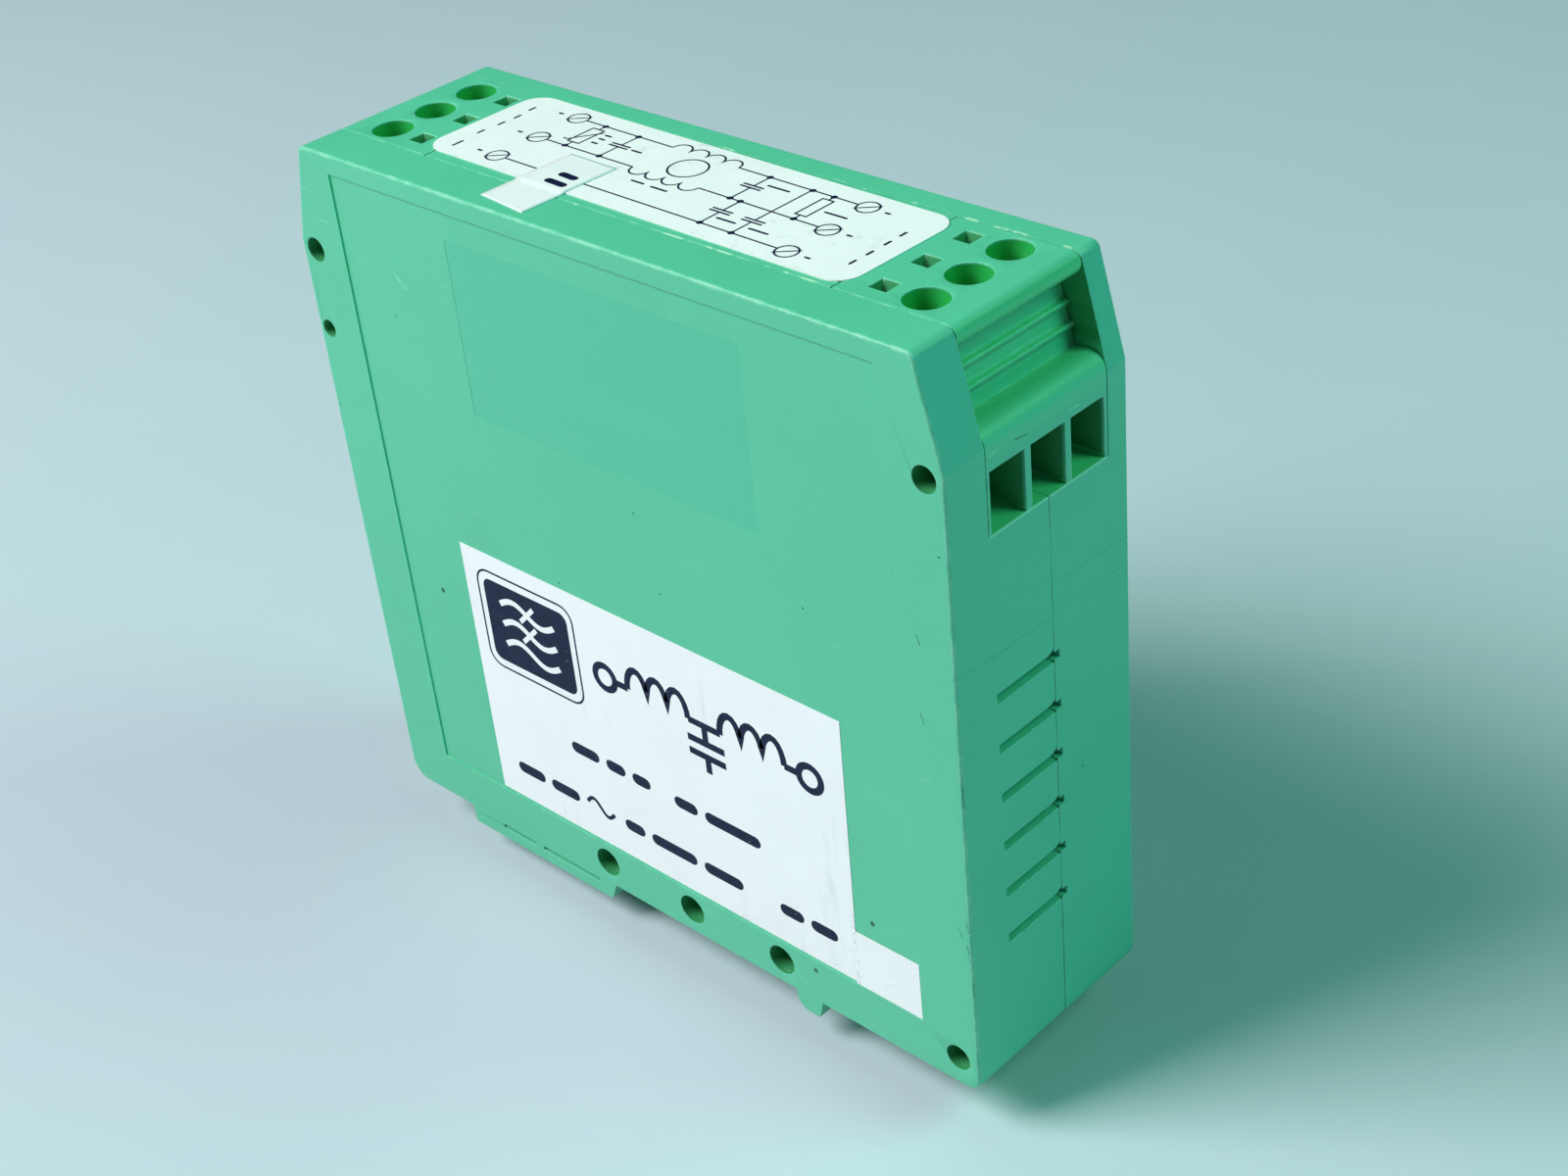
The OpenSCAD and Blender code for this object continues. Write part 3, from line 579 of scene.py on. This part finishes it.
def soften(node, width=0.14, segments=2, angle=35.0, smooth=33.0):
    """A copy of a frame node's mesh whose sharp edges are broken as a moulded part's are."""
    bm = bmesh.new()
    bm.from_mesh(NODES[node].data)
    bmesh.ops.remove_doubles(bm, verts=bm.verts, dist=1e-6)
    bmesh.ops.dissolve_limit(bm, angle_limit=math.radians(0.6), verts=bm.verts, edges=bm.edges,
                             use_dissolve_boundaries=False)
    width *= MM
    tag = bm.faces.layers.int.new("broken")
    edges = sharp_edges(bm, math.radians(angle))
    skip = tight_corners(edges, width)
    for group in groups_of([e for e in edges if e not in skip]):
        group = [e for e in group if e.is_valid]
        if not group:
            continue
        bm.edges.index_update()
        trial = bm.copy()
        trial.edges.ensure_lookup_table()
        got = strip_width(bevel(trial, [trial.edges[e.index] for e in group], width, 1, True))
        trial.free()
        if got > 0.55 * width:
            vs = [v.co for e in group for v in e.verts]
            fine = all(min(v.y - cad_lo.y, cad_hi.y - v.y) < 0.4 * MM for v in vs) or \
                (len(group) <= 16 and all(v.z > cad_hi.z - 1.8 * MM for v in vs))
            new = bevel(bm, group, 0.05 * MM if fine else width, segments, True)
        elif 40 <= len(group) <= 50 and is_round(group):
            new = bevel(bm, group, width * 0.55, segments, False)
        else:
            new = bevel(bm, group, width, segments, True)
        for f in new:
            f[tag] = 1
    bmesh.ops.triangulate(bm, faces=bm.faces[:], quad_method="BEAUTY", ngon_method="BEAUTY")
    for f in bm.faces:
        f.smooth = True
    for e in bm.edges:
        e.smooth = not (len(e.link_faces) == 2 and e.calc_face_angle(0) > math.radians(smooth))
    # the broken edges, and the rounded rim of the two outer faces
    rim = [float(f[tag] == 1 or (0.05 < abs(f.normal.y) < 0.98
                                 and min(f.calc_center_median().y - cad_lo.y, cad_hi.y - f.calc_center_median().y) < 0.31 * MM))
           for f in bm.faces]
    # the steps round the side panel and its smooth field are only just there
    lo, hi = P(6.1, 0.20, 5.0), P(71.2, 0.33, 70.3)
    panel, sunk = P(0, 0.25, 0).y, P(0, 0.19, 0).y
    for v in bm.verts:
        if node == "front_shell" and all(lo[i] < v.co[i] < hi[i] for i in range(3)):
            v.co.y = sunk + max(v.co.y - panel, 0.0) * 0.35
        for i in range(3):
            v.co[i] = min(max(v.co[i], cad_lo[i]), cad_hi[i])
    me = bpy.data.meshes.new(node + "_moulding")
    bm.to_mesh(me)
    bm.free()
    me.attributes.new("rim", "FLOAT", "FACE").data.foreach_set("value", rim)
    ob = bpy.data.objects.new(node + "_moulding", me)
    scene.collection.objects.link(ob)
    wn = ob.modifiers.new("weighted", "WEIGHTED_NORMAL")
    wn.keep_sharp = True
    wn.weight = 50
    return ob


def stand_in(ob, node, body, look):
    ob.data.materials.clear()
    ob.data.materials.append(look)
    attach(ob, body)
    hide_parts(node)


for n in ("front_shell", "back_shell", "top_cover", "line_terminal_block", "load_terminal_block"):
    stand_in(soften(n), n, "housing", HOUSING)
stand_in(soften("rail_catch"), "rail_catch", "rail_catch", CATCH)


# ------------------------------------------------------------------ print
class Print:
    """Flat ink shapes on one label, each a thin closed solid standing a hair proud of the film."""

    def __init__(self, name, to_world, height):
        self.bm = bmesh.new()
        self.name = name
        self.to_world = to_world
        self.h = height
        self.n = 0

    def prism(self, outline, holes=()):
        """A closed solid from an outline, or from an outline and one matching inner ring."""
        self.n += 1
        top = self.h + 0.00025 * (self.n % 24)
        bm = self.bm

        def ring(pts, h):
            return [bm.verts.new(self.to_world(u, v, h)) for u, v in pts]

        lo, hi = ring(outline, -0.02), ring(outline, top)
        n = len(outline)
        if holes:
            ilo, ihi = ring(holes, -0.02), ring(holes, top)
            for i in range(n):
                j = (i + 1) % n
                bm.faces.new((hi[i], hi[j], ihi[j], ihi[i]))
                bm.faces.new((lo[j], lo[i], ilo[i], ilo[j]))
                bm.faces.new((lo[i], lo[j], hi[j], hi[i]))
                bm.faces.new((ilo[j], ilo[i], ihi[i], ihi[j]))
            return
        bm.faces.new(hi)
        bm.faces.new(lo[::-1])
        for i in range(n):
            j = (i + 1) % n
            bm.faces.new((lo[i], lo[j], hi[j], hi[i]))

    def stroke(self, pts, w, closed=False):
        pts = [Vector(p) for p in pts]
        n = len(pts)
        left, right = [], []
        for i, p in enumerate(pts):
            a = pts[i - 1] if (closed or i > 0) else None
            b = pts[(i + 1) % n] if (closed or i < n - 1) else None
            d1 = (p - a).normalized() if a is not None else None
            d2 = (b - p).normalized() if b is not None else None
            d1 = d1 or d2
            d2 = d2 or d1
            t = (d1 + d2).normalized()
            m = Vector((-t.y, t.x))
            k = max(0.5, m.dot(Vector((-d1.y, d1.x))))
            left.append(tuple(p + m * (w / 2 / k)))
            right.append(tuple(p - m * (w / 2 / k)))
        if closed:
            self.prism(left, right)
        else:
            # strips of quads, so that a bent stroke stays flat
            self.n += 1
            top = self.h + 0.00025 * (self.n % 24)
            bm = self.bm
            rows = []
            for l, r in zip(left, right):
                rows.append([bm.verts.new(self.to_world(*q, h)) for q, h in
                             ((l, top), (r, top), (r, -0.02), (l, -0.02))])
            for a, b in zip(rows, rows[1:]):
                for i in range(4):
                    j = (i + 1) % 4
                    bm.faces.new((a[i], a[j], b[j], b[i]))
            bm.faces.new(rows[0][::-1])
            bm.faces.new(rows[-1])

    def arc(self, c, r, a0, a1, w, n=14):
        self.stroke([(c[0] + r * math.cos(math.radians(a0 + (a1 - a0) * i / n)),
                      c[1] + r * math.sin(math.radians(a0 + (a1 - a0) * i / n))) for i in range(n + 1)], w)

    def circle(self, c, r, w, n=28):
        self.stroke([(c[0] + r * math.cos(2 * math.pi * i / n), c[1] + r * math.sin(2 * math.pi * i / n))
                     for i in range(n)], w, True)

    def disc(self, c, r, n=14):
        self.prism([(c[0] + r * math.cos(2 * math.pi * i / n), c[1] + r * math.sin(2 * math.pi * i / n))
                    for i in range(n)])

    def pill(self, p, q, w):
        """A round-ended bar."""
        p, q = Vector(p), Vector(q)
        d = (q - p).normalized()
        a = math.atan2(d.y, d.x)
        out = []
        for c, s in ((q, -90), (p, 90)):
            for i in range(7):
                t = a + math.radians(s + i * 30)
                out.append((c.x + w / 2 * math.cos(t), c.y + w / 2 * math.sin(t)))
        self.prism(out)

    def humps(self, p, q, n, w, side=1, bulge=1.0):
        """A coil drawn as a row of half-round turns from p to q."""
        p, q = Vector(p), Vector(q)
        d = (q - p) / n
        m = Vector((-d.y, d.x)) * side
        pts = []
        for k in range(n):
            for i in range(0 if k == 0 else 1, 11):
                t = math.pi * i / 10
                pts.append(tuple(p + d * (k + 0.5 - 0.5 * math.cos(t)) + m * (0.5 * bulge * math.sin(t))))
        self.stroke(pts, w)

    def wave(self, p, q, amp, w, turns=1.0, n=16):
        p, q = Vector(p), Vector(q)
        d = q - p
        m = Vector((-d.y, d.x)).normalized()
        self.stroke([tuple(p + d * (i / n) + m * amp * math.sin(2 * math.pi * turns * i / n)) for i in range(n + 1)], w)

    def rounded(self, x0, y0, x1, y1, r, w=None):
        pts = []
        for cx, cy, a in ((x1 - r, y1 - r, 0), (x0 + r, y1 - r, 90), (x0 + r, y0 + r, 180), (x1 - r, y0 + r, 270)):
            for i in range(6):
                t = math.radians(a + i * 18)
                pts.append((cx + r * math.cos(t), cy + r * math.sin(t)))
        if w is None:
            self.prism(pts)
        else:
            self.stroke(pts, w, True)

    def finish(self, look):
        bmesh.ops.recalc_face_normals(self.bm, faces=self.bm.faces[:])
        bmesh.ops.triangulate(self.bm, faces=self.bm.faces[:])
        me = bpy.data.meshes.new(self.name)
        self.bm.to_mesh(me)
        self.bm.free()
        ob = bpy.data.objects.new(self.name, me)
        scene.collection.objects.link(ob)
        me.materials.append(look)
        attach(ob, "housing")
        return ob


def on_side(y0):
    return lambda u, v, h: P(u, y0 - h, v)


def on_top(z0):
    return lambda u, v, h: P(u, v, z0 + h)


def side_print():
    """Generic marks in the places of the print: a low-pass sign, a T-filter diagram and rows of bars."""
    s = Print("side_print", on_side(0.15), 0.010)
    s.rounded(18.1, 22.5, 29.8, 31.7, 1.0)
    s.rounded(17.3, 21.6, 30.6, 32.6, 1.6, 0.22)
    # diagram: terminal, coil, node with capacitor, coil, terminal
    w, z = 0.74, 26.6
    s.circle((34.2, z), 1.3, w)
    s.stroke([(35.5, z), (37.2, z)], w)
    s.humps((37.2, z), (45.0, z), 3, w, 1, 1.9)
    s.stroke([(45.0, z), (49.0, z)], w)
    s.stroke([(47.0, z), (47.0, 24.6)], w)
    s.stroke([(44.7, 24.6), (49.3, 24.6)], w)
    s.stroke([(44.7, 23.1), (49.3, 23.1)], w)
    s.stroke([(47.0, 23.1), (47.0, 21.3)], w)
    s.humps((49.0, z), (56.8, z), 3, w, 1, 1.9)
    s.stroke([(56.8, z), (58.5, z)], w)
    s.circle((59.8, z), 1.3, w)
    # second row: two groups of bars
    for a, b, zz in ((27.6, 31.4, 15.9), (32.4, 35.0, 15.9), (36.0, 38.4, 15.9), (41.6, 44.6, 15.8), (45.6, 52.6, 15.8)):
        s.pill((a + 0.6, zz), (b - 0.6, zz), 1.25)
    # third row: bars, a wave, bars
    for a, b in ((18.5, 22.4), (23.4, 27.4), (33.9, 36.6), (37.6, 43.6), (44.6, 49.6), (54.3, 57.2), (58.1, 61.3)):
        s.pill((a + 0.6, 9.4), (b - 0.6, 9.4), 1.25)
    s.wave((28.6, 9.6), (32.4, 9.6), 0.75, 0.42)
    s.finish(INK)
    # the low-pass sign stands white on its dark field
    k = Print("side_print_sign", on_side(0.15), 0.018)
    for i, zz in enumerate((29.4, 27.1, 24.8)):
        k.wave((20.2, zz), (27.7, zz), 0.75, 0.62)
        if i < 2:
            k.stroke([(22.9, zz - 1.05), (25.0, zz + 1.05)], 0.5)
    k.finish(LABEL)


def top_print():
    """The circuit of the filter: two chokes on one ring, capacitors, a varistor and a bleed resistor."""
    s = Print("top_print", on_top(72.1), 0.008)
    w = 0.18

    def row(pts):
        s.stroke(pts, w)

    def dot(*p):
        s.disc(p, 0.31)

    def capacitor(x, y0, y1, ym=None, gap=0.42, plate=1.15):
        ym = ym or (y0 + y1) / 2
        row([(x, y0), (x, ym - gap / 2)])
        row([(x, ym + gap / 2), (x, y1)])
        for d in (-gap / 2, gap / 2):
            s.stroke([(x - plate, ym + d), (x + plate, ym + d)], w * 1.25)

    # terminals
    for x, y in ((20.7, 17.8), (20.7, 12.9), (20.6, 8.1), (55.7, 17.15), (55.8, 12.2), (55.7, 7.5)):
        s.circle((x, y), 1.02, w)
        s.stroke([(x - 0.95, y - 0.75), (x + 0.95, y + 0.75)], w)
    # live row
    row([(21.72, 17.78), (32.9, 17.55)])
    s.humps((32.9, 17.55), (41.0, 17.4), 4, w, 1, 1.05)
    row([(41.0, 17.4), (54.68, 17.16)])
    # neutral row
    row([(21.72, 12.88), (32.9, 12.7)])
    s.humps((32.9, 12.7), (41.0, 12.55), 4, w, -1, 1.05)
    row([(41.0, 12.55), (54.78, 12.22)])
    # earth row
    row([(21.62, 8.08), (54.68, 7.52)])
    s.circle((37.3, 15.0), 1.8, w, 36)
    for p in ((24.3, 17.7), (28.6, 17.6), (24.2, 12.85), (28.6, 12.8), (44.7, 17.33), (49.6, 17.24), (52.0, 17.2),
              (44.7, 12.48), (45.9, 12.45), (52.0, 12.28), (45.9, 7.68), (49.5, 7.62)):
        dot(*p)
    # varistor
    row([(24.3, 17.7), (24.28, 16.9)])
    row([(24.22, 13.75), (24.2, 12.85)])
    s.stroke([(23.55, 13.75), (24.95, 13.75), (24.95, 16.9), (23.55, 16.9)], w, True)
    s.stroke([(22.75, 14.0), (23.25, 14.0), (25.3, 16.6)], w)
    # capacitors
    capacitor(28.6, 12.8, 17.6, 15.3)
    capacitor(44.7, 12.48, 17.33, 15.1)
    capacitor(45.9, 7.68, 12.45, 10.2)
    capacitor(49.5, 7.62, 17.24, 10.2)
    # resistor
    row([(52.0, 17.2), (52.0, 16.5)])
    row([(52.0, 13.1), (52.0, 12.28)])
    s.stroke([(51.4, 13.1), (52.6, 13.1), (52.6, 16.5), (51.4, 16.5)], w, True)
    # short dashes in the places of the captions
    t = 0.26
    for x, y, dx, dy in ((15.2, 17.1, 0.0, 0.35), (15.4, 15.1, 0.0, 0.35), (15.3, 13.25, 0.0, 0.35), (15.1, 11.0, 0.0, 0.35),
                         (15.3, 8.1, 0.0, 0.55), (61.46, 14.8, 0.0, 0.35), (61.47, 12.9, 0.0, 0.35),
                         (61.46, 10.8, 0.0, 0.35), (61.4, 8.85, 0.0, 0.35),
                         (18.4, 17.75, 0.2, 0), (18.3, 12.85, 0.2, 0), (18.3, 8.1, 0.2, 0),
                         (57.85, 17.1, 0.2, 0), (58.0, 12.3, 0.2, 0), (57.9, 7.5, 0.2, 0),
                         (26.1, 16.3, 0.3, 0), (26.1, 15.5, 0.3, 0), (26.1, 14.6, 0.3, 0),
                         (30.8, 15.2, 0.55, 0), (35.6, 10.66, 0.7, 0), (38.2, 10.6, 0.9, 0),
                         (46.9, 16.0, 1.15, 0), (54.5, 14.6, 1.15, 0), (47.5, 9.1, 1.0, 0), (51.2, 9.0, 1.0, 0)):
        s.pill((x - dx, y - dy), (x + dx, y + dy), t)
    s.finish(INK)
    # two short bars on the sticker
    k = Print("sticker_print", on_top(72.186), 0.007)
    k.pill((28.75, 6.75), (30.65, 6.65), 0.78)
    k.pill((28.9, 8.25), (30.45, 8.15), 0.78)
    k.finish(INK)


side_print()
top_print()


# ------------------------------------------------------------------ the sticker, laid over the step of the label under it
def sticker():
    corners = [Vector(c) for c in ((25.7, 1.75), (31.6, 1.1), (32.1, 11.6), (26.2, 11.75))]
    nx, ny = 12, 40
    bm = bmesh.new()

    def height(y):
        t = min(1.0, max(0.0, (y - 5.35) / 0.5))
        return 72.004 + 0.1 * (t * t * (3 - 2 * t))

    grid = []
    for layer in (0, 1):
        rows = []
        for j in range(ny + 1):
            row = []
            for i in range(nx + 1):
                u, v = i / nx, j / ny
                p = corners[0].lerp(corners[1], u).lerp(corners[3].lerp(corners[2], u), v)
                z = height(p.y)
                if layer:
                    z += 0.080 + 0.0015 * math.sin(3.1 * u + 5.0 * v) * (1 - abs(2 * u - 1))
                row.append(bm.verts.new(P(p.x, p.y, z)))
            rows.append(row)
        grid.append(rows)
    for j in range(ny):
        for i in range(nx):
            a = [grid[1][j][i], grid[1][j][i + 1], grid[1][j + 1][i + 1], grid[1][j + 1][i]]
            bm.faces.new(a)
            b = [grid[0][j][i], grid[0][j][i + 1], grid[0][j + 1][i + 1], grid[0][j + 1][i]]
            bm.faces.new(b[::-1])
    rim = [(j, 0) for j in range(ny)] + [(ny, i) for i in range(nx)] + [(j, nx) for j in range(ny, 0, -1)] + \
          [(0, i) for i in range(nx, 0, -1)]
    for (j0, i0), (j1, i1) in zip(rim, rim[1:] + rim[:1]):
        bm.faces.new([grid[0][j0][i0], grid[0][j1][i1], grid[1][j1][i1], grid[1][j0][i0]])
    bmesh.ops.recalc_face_normals(bm, faces=bm.faces[:])
    for f in bm.faces:
        f.smooth = abs(f.normal.z) > 0.5
    me = bpy.data.meshes.new("sticker_film")
    bm.to_mesh(me)
    bm.free()
    ob = bpy.data.objects.new("sticker_film", me)
    scene.collection.objects.link(ob)
    stand_in(ob, "end_sticker", "housing", STICKER)


sticker()


# ------------------------------------------------------------------ the choke's windings, as wire
def tube(name, pts, r, sides=10):
    """A closed round bar along a line of points in working millimetres."""
    pts = [P(*p) for p in pts]
    bm = bmesh.new()
    n = len(pts)
    t = (pts[1] - pts[0]).normalized()
    u = t.orthogonal().normalized()
    rings = []
    for i, p in enumerate(pts):
        d = (pts[min(i + 1, n - 1)] - pts[max(i - 1, 0)]).normalized()
        u = (u - d * u.dot(d)).normalized()
        v = d.cross(u)
        rings.append([bm.verts.new(p + (u * math.cos(2 * math.pi * k / sides) + v * math.sin(2 * math.pi * k / sides)) * r * MM)
                      for k in range(sides)])
    for a, b in zip(rings, rings[1:]):
        for k in range(sides):
            j = (k + 1) % sides
            bm.faces.new((a[k], a[j], b[j], b[k]))
    bm.faces.new(rings[0][::-1])
    bm.faces.new(rings[-1])
    bmesh.ops.recalc_face_normals(bm, faces=bm.faces[:])
    for f in bm.faces:
        f.smooth = len(f.verts) == 4
    me = bpy.data.meshes.new(name)
    bm.to_mesh(me)
    bm.free()
    ob = bpy.data.objects.new(name, me)
    scene.collection.objects.link(ob)
    return ob


def winding(name, a0, first, last, look):
    """Eleven turns round a third of the ring, from one lead in the board to the other."""
    cx, cz = 38.6, 28.0
    ri, ro, y0, y1, rw, turns = 6.0, 10.5, 7.0, 15.0, 0.46, 11
    g = rw + 0.04
    section = []
    for r, y, b in ((ro, y0, -90), (ro, y1, 0), (ri, y1, 90), (ri, y0, 180)):
        for i in range(5):
            t = math.radians(b + i * 22.5)
            section.append((r + g * math.cos(t), y + g * math.sin(t)))

    def at(r, y, a):
        return (cx + r * math.cos(math.radians(a)), y, cz + r * math.sin(math.radians(a)))

    lead = 12.2
    pts = [at(lead, 1.95, first), at(lead, 7.2, first), at(lead - 0.15, 7.9, first), at(lead - 0.6, 8.3, first + 0.3)]
    n = len(section)
    start, end = a0 + 5.0, a0 + 115.0
    for k in range(turns * n + 1):
        r, y = section[k % n]
        a = start + (end - start) * k / (turns * n)
        if k == 0:
            r, y = section[0]
        pts.append(at(r, y, a))
    # the last turn ends at the ring's lower outer edge, where the second lead meets it
    pts += [at(lead - 0.6, 8.3, last - 0.3), at(lead - 0.15, 7.9, last), at(lead, 7.2, last), at(lead, 1.95, last)]
    stand_in(tube(name + "_wire", pts, rw), name, "housing", look)


winding("choke_winding_live", 30, 35, 145, LOOKS["choke_winding_live"])
winding("choke_winding_neutral", 210, 215, 325, LOOKS["choke_winding_neutral"])


# ------------------------------------------------------------------ finishes of the remaining nodes
def dress(node, look, width=0.0, smooth=35.0):
    """A finish, and for a cut or pressed part slightly broken edges, on a node of the frame."""
    ob = NODES[node]
    ob.data.materials.clear()
    ob.data.materials.append(look)
    if width:
        bv = ob.modifiers.new("edge", "BEVEL")
        bv.width = width * MM
        bv.segments = 2
        bv.limit_method = "ANGLE"
        bv.angle_limit = math.radians(40)
        bv.harden_normals = False


for side in ("line", "load"):
    for pole in ("earth", "neutral", "live"):
        dress(f"{side}_screw_{pole}", STEEL)
        dress(f"{side}_cage_{pole}", CAGE)
        dress(f"{side}_contact_{pole}", TIN)
for n, look in LOOKS.items():
    if not n.startswith("choke_winding"):
        dress(n, look)
# the catch's spring, a copy of its wire, is fixed to the housing, so it stays put as the catch slides back
spring = bpy.data.objects.new("catch_spring_wire", NODES["catch_spring"].data.copy())
scene.collection.objects.link(spring)
stand_in(spring, "catch_spring", "housing", WIRE)
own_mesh(spring)
for n in ("top_label", "side_label", "small_label"):
    dress(n, LABEL)

# the low coloured fill falls on the object only, so the floor keeps its plain colour
lit = bpy.data.collections.new("lit_by_side_low")
for ob in list(scene.objects):
    if ob.type == "MESH" and ob.dimensions.length < 0.5:
        lit.objects.link(ob)
bpy.data.objects["side_low"].light_linking.receiver_collection = lit
